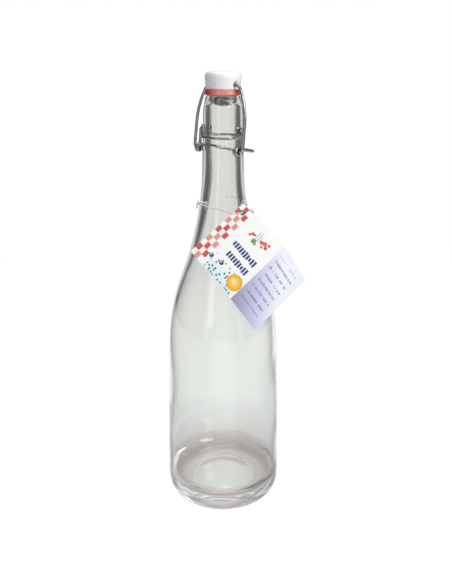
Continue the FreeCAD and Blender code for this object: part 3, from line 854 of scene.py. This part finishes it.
class Print(Paint):
    """A print in millimetres across (x) and along (y) the sheet. Each part is laid over what is there."""

    def __init__(self, name):
        super().__init__(name)
        self.chart = self.node("UVMap", uv_map="print").outputs["UV"]
        self.x, self.y, _ = self.split(self.chart)
        self.cloud = self.grain(0.35, 3, 0.6)
        self.ink = self.ramp(self.grain(1.1, 4, 0.6), [(0.3, (0.90, 0.90, 0.89)), (0.7, (0.95, 0.95, 0.94))])

    def grain(self, scale, detail, roughness):
        return self.noise(scale, detail, roughness, vector=self.chart)

    def lay(self, where, colour):
        self.ink = self.mix(where, self.ink, colour)

    def across(self, low, high, soft=0.12):
        return self.span(self.x, low, high, soft)

    def along(self, low, high, soft=0.12):
        return self.span(self.y, low, high, soft)

    def from_point(self, x, y):
        return self.distance(self.math("SUBTRACT", self.x, x), self.math("SUBTRACT", self.y, y))

    def disc(self, x, y, radius, soft=0.15):
        return self.math("DIVIDE", self.math("SUBTRACT", radius, self.from_point(x, y)), soft, True)


def print_gingham(card):
    """Three rows of cells along the edge away from the crease, in two reds that take turns."""
    deep, long, rows = 3.35, 4.6, 3
    light, dark, bleached = (0.74, 0.30, 0.24), (0.55, 0.045, 0.06), (0.80, 0.42, 0.36)
    row = card.math("FLOOR", card.math("DIVIDE", card.math("SUBTRACT", LEAF_W, card.x), deep))
    column = card.math("FLOOR", card.math("DIVIDE", card.math("ADD", card.y, LEAF_L / 2 + 4 * long), long))
    odd = card.math("GREATER_THAN", card.math("MODULO", card.math("ADD", row, column), 2.0), 0.5)
    red = card.mix(card.span(card.math("MODULO", column, 4.0), 0.5, 2.5, 0.01), light, dark)
    red = card.mix(card.both(card.grain(0.9, 2, 0.5), 0.3), red, bleached)
    card.lay(card.both(card.math("GREATER_THAN", card.x, LEAF_W - rows * deep), odd), red)


def print_water(card):
    """Pale water along the side that faces down, with scattered drops and two bubbles in it."""
    water, deep_drop, light_drop = (0.50, 0.76, 0.78), (0.02, 0.05, 0.16), (0.05, 0.26, 0.36)
    bubble, shine = (0.03, 0.05, 0.16), (0.62, 0.70, 0.80)
    level = card.math("DIVIDE", card.math("SUBTRACT", -14.5, card.y), 9.0, True)
    wash = card.both(level, card.across(1.0, 29.7, 1.5))
    card.lay(card.both(wash, card.ramp(card.cloud, [(0.3, 0.15), (0.75, 0.85)])), water)
    cells = card.node("TexVoronoi", feature="F1", voronoi_dimensions="2D")
    cells.inputs["Scale"].default_value = 0.42
    cells.inputs["Randomness"].default_value = 0.75
    card.link(card.chart, cells.inputs["Vector"])
    chance = card.node("SeparateColor")
    card.link(cells.outputs["Color"], chance.inputs[0])
    spot = card.math("LESS_THAN", cells.outputs["Distance"], 0.30)
    spot = card.both(spot, card.both(card.across(2.0, 29.0, 0.3), card.along(-25.4, -12.5, 0.3)))
    kept = card.math("LESS_THAN", chance.outputs["Red"], 0.72)
    card.lay(card.both(spot, kept), card.mix(chance.outputs["Green"], deep_drop, light_drop))
    for x, y, radius in ((30.2, -16.6, 1.7), (21.6, -15.0, 1.7)):
        card.lay(card.disc(x, y, radius), bubble)
        card.lay(card.disc(x + 0.5, y + 0.3, radius * 0.42), shine)


def print_lemon(card):
    """A lemon beside the crease: a round of shaded rind with a streaked shine."""
    x, y, radius = 5.6, -17.2, 5.7
    middle, side, edge, shine = (0.95, 0.66, 0.20), (0.92, 0.52, 0.06), (0.85, 0.36, 0.01), (0.96, 0.80, 0.42)
    share = card.math("DIVIDE", card.from_point(x, y), radius)
    card.lay(card.disc(x, y, radius), card.ramp(share, [(0.0, middle), (0.62, side), (1.0, edge)]))
    streaks = card.ramp(card.grain(1.6, 1, 0.4), [(0.35, 0.2), (0.65, 0.9)])
    card.lay(card.both(card.disc(x + 0.8, y + 0.6, 2.6, 0.8), streaks), shine)


def print_sprig(card):
    """A plain sprig of two leaves, berries and three stems in the top corner."""
    for x, y, radius, tint in (
            (17.4, 11.8, 1.9, (0.14, 0.36, 0.10)), (15.6, 11.0, 1.2, (0.22, 0.44, 0.14)),
            (22.6, 13.2, 1.0, (0.62, 0.08, 0.07)), (21.3, 15.0, 1.3, (0.66, 0.11, 0.09)),
            (19.6, 15.4, 0.9, (0.60, 0.07, 0.06)), (12.6, 15.3, 1.5, (0.66, 0.10, 0.08)),
            (10.2, 16.4, 1.7, (0.70, 0.16, 0.12)), (8.0, 14.6, 1.3, (0.62, 0.08, 0.07)),
            (10.6, 13.0, 1.1, (0.70, 0.20, 0.15)), (7.4, 17.6, 1.1, (0.66, 0.11, 0.09))):
        card.lay(card.disc(x, y, radius), tint)
    for x, y, length in ((17.6, 13.6, 6.4), (15.9, 12.4, 8.2), (14.4, 13.4, 5.2)):
        card.lay(card.both(card.across(x, x + 0.6), card.along(y, y + length)), LEAF_GREEN)


def print_blocks(card):
    """Two rows of plain dark blue blocks of uneven height across the middle."""
    pitch, block_w, low, uneven_by = 2.2, 1.7, 1.4, 1.1
    chance = card.node("TexWhiteNoise", noise_dimensions="1D")
    card.link(card.math("FLOOR", card.math("DIVIDE", card.x, pitch)), chance.inputs["W"])
    half_height = card.math("ADD", card.both(chance.outputs["Value"], uneven_by), low)
    inside = card.span(card.math("MODULO", card.x, pitch), 0.05, 0.05 + block_w, 0.12)
    for middle, start, end in ((1.1, 4.4, 26.4), (-7.0, 4.4, 24.2)):
        off = card.math("ABSOLUTE", card.math("SUBTRACT", card.y, middle))
        block = card.both(inside, card.math("LESS_THAN", off, half_height))
        card.lay(card.both(block, card.across(start, end)), DARK_BLUE)


def print_back_leaf(card):
    """The back leaf: a printed lavender ground with painted shade that darkens it towards the corner at the
    crease's lower end, with rows of grey-blue dashes.
    """
    pale, lavender = (0.86, 0.87, 0.95), (0.62, 0.63, 0.82)
    dark, darkest = (0.36, 0.35, 0.52), (0.26, 0.25, 0.37)
    dash_colour, pitch, shift = (0.10, 0.12, 0.25), 5.6, 100.0
    # painted shade: the ground darkens towards the corner at the crease's lower end
    depth = card.math("ADD", card.math("SUBTRACT", LEAF_L / 2, card.y), card.both(card.x, 0.75))
    ground = card.ramp(card.math("DIVIDE", depth, 58.0, True),
                       [(0.0, pale), (0.35, lavender), (0.75, dark), (1.0, darkest)])
    raised = card.math("ADD", card.y, shift)
    place = card.node("CombineXYZ")
    card.link(card.both(card.x, 0.55), place.inputs[0])
    card.link(card.both(card.math("FLOOR", card.math("DIVIDE", raised, pitch)), 7.3), place.inputs[1])
    dashes = card.math("GREATER_THAN", card.noise(1.0, 1, 0.4, vector=place.outputs[0]), 0.44)
    rows = card.span(card.math("MODULO", raised, pitch), 1.6, 3.7, 0.5)
    lines = card.both(card.both(rows, card.along(-19.0, 20.0)), card.across(-33.0, -4.0))
    share = card.both(card.both(lines, dashes), 0.6)
    card.lay(card.math("LESS_THAN", card.x, -0.2), card.mix(share, ground, dash_colour))


def card_paint():
    card = Print("printed_card")
    for layer in (print_gingham, print_water, print_lemon, print_sprig, print_blocks, print_back_leaf):
        layer(card)
    card.into("Base Color", card.ink)
    card.into("Roughness", card.ramp(card.cloud, [(0.3, 0.38), (0.7, 0.52)]))
    card.set(Specular_IOR_Level=0.3)
    card.bump(card.grain(3.0, 3, 0.6), 0.06, 0.0001)
    return card


# ------------ cord

KNOT_AZIMUTH, KNOT_R, KNOT_RISE = 236, 19.0, 1.4
PLY_R, PLY_OFF, PLY_PITCH, KNOT_WIRE, TAIL_WIRE, THREAD_SIDES = 0.27, 0.2, 2.4, 0.42, 0.36, 10


def round_neck(azimuth, height, radius):
    """A place beside the neck, with its azimuth in degrees."""
    a = math.radians(azimuth)
    return np.array([radius * math.cos(a), radius * math.sin(a), height])


def cord_path(hole):
    """From the knot along the front of the neck, through the card's hole, and round the back to the knot."""
    level = hole[2]
    edge = hole - SIDEWAYS * 7.4 + OUTWARD * 1.3
    right = round_neck(31, level + 0.4, 18.8)
    path = [round_neck(KNOT_AZIMUTH + 5, level + 1.3, 18.6),
            round_neck(KNOT_AZIMUTH + 18, level + 1.0, 18.7),
            round_neck(KNOT_AZIMUTH + 30, level + 0.7, 18.95),
            (edge + round_neck(KNOT_AZIMUTH + 32, level + 0.5, 19.3)) / 2,
            edge,
            edge + SIDEWAYS * 3.6 + OUTWARD * 0.25,
            hole - SIDEWAYS * 1.2 + OUTWARD * 1.28,
            hole + OUTWARD * 0.3,
            hole - SIDEWAYS * 0.4 - OUTWARD * 1.2,
            hole * 0.66 + right * 0.34 - OUTWARD * 0.16,
            right]
    for azimuth in range(45, KNOT_AZIMUTH - 12, 14):
        rise = 0.9 + 1.6 * math.sin(math.radians((azimuth + 20) * 0.85))
        wobble = 0.15 * math.sin(azimuth)
        path.append(round_neck(azimuth, level + rise, 18.45 + wobble))
    return path + [round_neck(KNOT_AZIMUTH - 8, level + 1.5, 18.6)]


def plies(line):
    """Two plies twisted round the cord's line."""
    _, across, up = frames_along(line, False)
    run = np.concatenate([[0], np.cumsum(np.linalg.norm(np.diff(line, axis=0), axis=1))])
    made = []
    for name, phase in (("cord_ply_a", 0.0), ("cord_ply_b", math.pi)):
        turn = run * FULL / PLY_PITCH + phase
        ply = line + PLY_OFF * (np.cos(turn)[:, None] * across + np.sin(turn)[:, None] * up)
        made.append(tube(name, ply, PLY_R, THREAD_SIDES))
    return made


def knot_and_tails(centre):
    """A small closed knot that stands off the neck, and the two cut tails that hang from it."""
    out = round_neck(KNOT_AZIMUTH, 0.0, 1.0)
    side = np.cross(out, UP)
    knot = []
    for q in np.linspace(0, FULL, 120, endpoint=False):
        swing = 1.05 + 0.42 * math.cos(3 * q)
        loop = side * swing * math.cos(2 * q) + UP * swing * math.sin(2 * q)
        knot.append(centre + loop + out * (0.55 * math.sin(3 * q) + 0.3))
    made = [tube("cord_knot", knot, KNOT_WIRE, THREAD_SIDES, closed=True)]
    for name, way, drop in (("cord_tail_a", 0.6, 5.2), ("cord_tail_b", -0.7, 4.1)):
        tail = spline([centre + out * 0.5,
                       centre + out * 1.3 + side * way * 1.6 - UP * 1.2,
                       centre + out * 1.2 + side * way * 2.2 - UP * drop], 0.3)
        made.append(tube(name, tail, TAIL_WIRE, THREAD_SIDES))
    return made


def build_cord():
    hole = card_point(*HOLE, 0)
    cords = plies(spline(cord_path(hole), 0.22))
    cords += knot_and_tails(round_neck(KNOT_AZIMUTH, hole[2] + KNOT_RISE, KNOT_R))
    thread_paint().onto(*cords)
    for cord in cords:
        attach(cord, "cord")
    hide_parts("tag_cord")


# ------------ floor, light and camera

BLACK, WHITE = (0.0, 0.0, 0.0), (1.0, 1.0, 1.0)
GROUND_Z, GLOW_FROM, TABLE_R = -0.4, 100 * MM, 600 * MM


def white_floor(paint, radius, seen):
    """The floor's own light: strong for the eye, faint for other rays, and growing away from the bottle."""
    far = paint.rise(radius, GLOW_FROM, TABLE_R, "SMOOTHSTEP")
    glow = paint.both(far, paint.math("ADD", paint.both(seen, 0.45), 0.22))
    return paint.mix(paint.math("ADD", glow, paint.both(seen, 0.66)), BLACK, WHITE)


def painted_table_glow(paint, radius):
    """The floor as glass shows it, a painted glow: a soft grey table, with painted shade making it mauve
    close to the heel and darker to both sides.
    """
    # painted shade: a darker mauve ring around the heel
    table = paint.ramp(paint.math("DIVIDE", radius, TABLE_R),
                       [(0.0, (0.60, 0.62, 0.59)), (0.035, (0.58, 0.58, 0.56)),
                        (0.0525, (0.43, 0.385, 0.39)), (0.08, (0.40, 0.365, 0.365)),
                        (0.125, (0.60, 0.60, 0.59)), (0.225, (0.78, 0.80, 0.78)),
                        (0.40, (0.78, 0.79, 0.77)), (1.0, (0.696, 0.686, 0.679))])
    x, _, _ = paint.for_camera(paint.node("NewGeometry").outputs["Incoming"])
    # painted shade: darker for rays that come in from either side of the camera
    sides = paint.ramp(paint.math("ABSOLUTE", x), [(0.0, 1.0), (0.2, 1.0), (0.38, 0.6), (0.6, 0.3)])
    return paint.mix(sides, BLACK, table)


def build_floor():
    """A plain pale floor that shows white to the eye, and through the glass a painted grey glow."""
    bright, brightest, seen_base, through_base = (0.93,) * 3, (0.95,) * 3, (0.50,) * 3, (0.02,) * 3
    floor = lathe("floor", [(radius, GROUND_Z) for radius in (0, 150, 400, 640)], 96)
    paint = Paint("pale_floor")
    radius, _ = paint.around()
    rays = paint.node("LightPath").outputs
    seen, through = rays["Is Camera Ray"], rays["Is Transmission Ray"]
    pale = paint.mix(seen, paint.ramp(paint.noise(9, 2), [(0.3, bright), (0.7, brightest)]), seen_base)
    paint.into("Base Color", paint.mix(through, pale, through_base))
    paint.set(Roughness=0.9, Specular_IOR_Level=0.0)
    # through the glass the floor shows only this painted glow
    shown = paint.mix(through, white_floor(paint, radius, seen), painted_table_glow(paint, radius))
    paint.into("Emission Color", shown)
    paint.into("Emission Strength", paint.math("ADD", paint.both(through, 0.12), 1.0))
    paint.onto(floor)


def warm_greys(*stops):
    """Stops of a ramp in greys with a trace of red."""
    return [(place, (level, level * 0.985, level * 0.975)) for place, level in stops]


def build_world():
    """White to the eye. Glass and metal see a bright field behind the bottle and darker sides."""
    diffuse_grey, turn_over = (0.26, 0.26, 0.27), 0.15
    world = bpy.data.worlds.new("studio")
    scene.world = world
    world.use_nodes = True
    nodes = Nodes(world.node_tree)
    x, _, z = nodes.for_camera(nodes.node("TexCoord").outputs["Generated"])
    side = nodes.math("ABSOLUTE", x)
    ahead = nodes.ramp(side, warm_greys((0.0, 0.78), (0.28, 0.78), (0.40, 0.34), (0.54, 0.10), (1.0, 0.10)))
    behind = nodes.ramp(side, warm_greys((0.0, 0.50), (0.30, 0.42), (0.48, 0.20), (0.56, 0.85), (0.64, 0.80),
                                         (0.70, 0.10), (1.0, 0.30)))
    studio = nodes.mix(nodes.rise(z, -turn_over, turn_over), behind, ahead)
    rays = nodes.node("LightPath").outputs
    soft = nodes.mix(rays["Is Diffuse Ray"], studio, diffuse_grey)
    shown = nodes.mix(rays["Is Camera Ray"], soft, WHITE)
    nodes.link(shown, nodes.tree.nodes["Background"].inputs["Color"])


def lamp(name, place, target_z, size, power):
    """A rectangular lamp in metres and watts, aimed at a height on the bottle's axis."""
    data = bpy.data.lights.new(name, "AREA")
    data.shape = "RECTANGLE"
    data.size, data.size_y = size
    data.energy = power
    made = added(name, data)
    made.location = place
    made.rotation_euler = (Vector((0, 0, target_z)) - Vector(place)).to_track_quat("-Z", "Y").to_euler()


def build_lights():
    lamp("key_box", place=(0.90, 0.05, 0.80), target_z=0.2, size=(0.45, 0.6), power=7.5)
    lamp("fill_box", place=(0.25, -0.95, 0.40), target_z=0.16, size=(0.25, 0.7), power=0.9)
    lamp("top_box", place=(0.0, 0.1, 1.0), target_z=0.2, size=(0.7, 0.7), power=3.6)


def hold_while_euler(camera, setting, amount):
    """Lens shift that holds while the camera turns by Euler angles, and drops out when it is aimed anew."""
    curve = camera.data.driver_add(setting)
    curve.driver.type = "SCRIPTED"
    mode = curve.driver.variables.new()
    mode.name = "mode"
    mode.targets[0].id = camera
    mode.targets[0].data_path = "rotation_mode"
    curve.driver.expression = f"{amount} * min(mode, 1)"


def build_camera():
    """Level camera above the closure's height, looking from the front right, with its frame shifted down."""
    distance, height, shift_right, shift_up = 0.53, 0.33, 0.005, -0.4127
    data = bpy.data.cameras.new("camera")
    data.sensor_fit = "AUTO"
    data.sensor_width = 36.0
    data.lens = 42.5
    data.clip_start, data.clip_end = 0.01, 20
    camera = added("camera", data)
    camera.location = (distance * math.sin(AZIMUTH), -distance * math.cos(AZIMUTH), height)
    camera.rotation_mode = "XYZ"
    camera.rotation_euler = (QUARTER, 0, AZIMUTH)
    hold_while_euler(camera, "shift_x", shift_right)
    hold_while_euler(camera, "shift_y", shift_up)
    scene.camera = camera


def set_light():
    """Plain colours, and enough bounces for light to find its way out of the thick base."""
    scene.view_settings.view_transform = "Standard"
    scene.cycles.max_bounces = 32
    scene.cycles.glossy_bounces = 24
    scene.cycles.transmission_bounces = 32


build_glass()
steel_paint("steel_band", (0.24, 0.225, 0.22), (0.40, 0.38, 0.37), 120).onto(build_collar())
steel_paint("steel_wire", (0.27, 0.255, 0.245), (0.44, 0.42, 0.405), 90).onto(build_lever(), build_bail())
build_stopper()
build_gasket()
build_card()
build_cord()
build_floor()
build_world()
build_lights()
build_camera()
set_light()
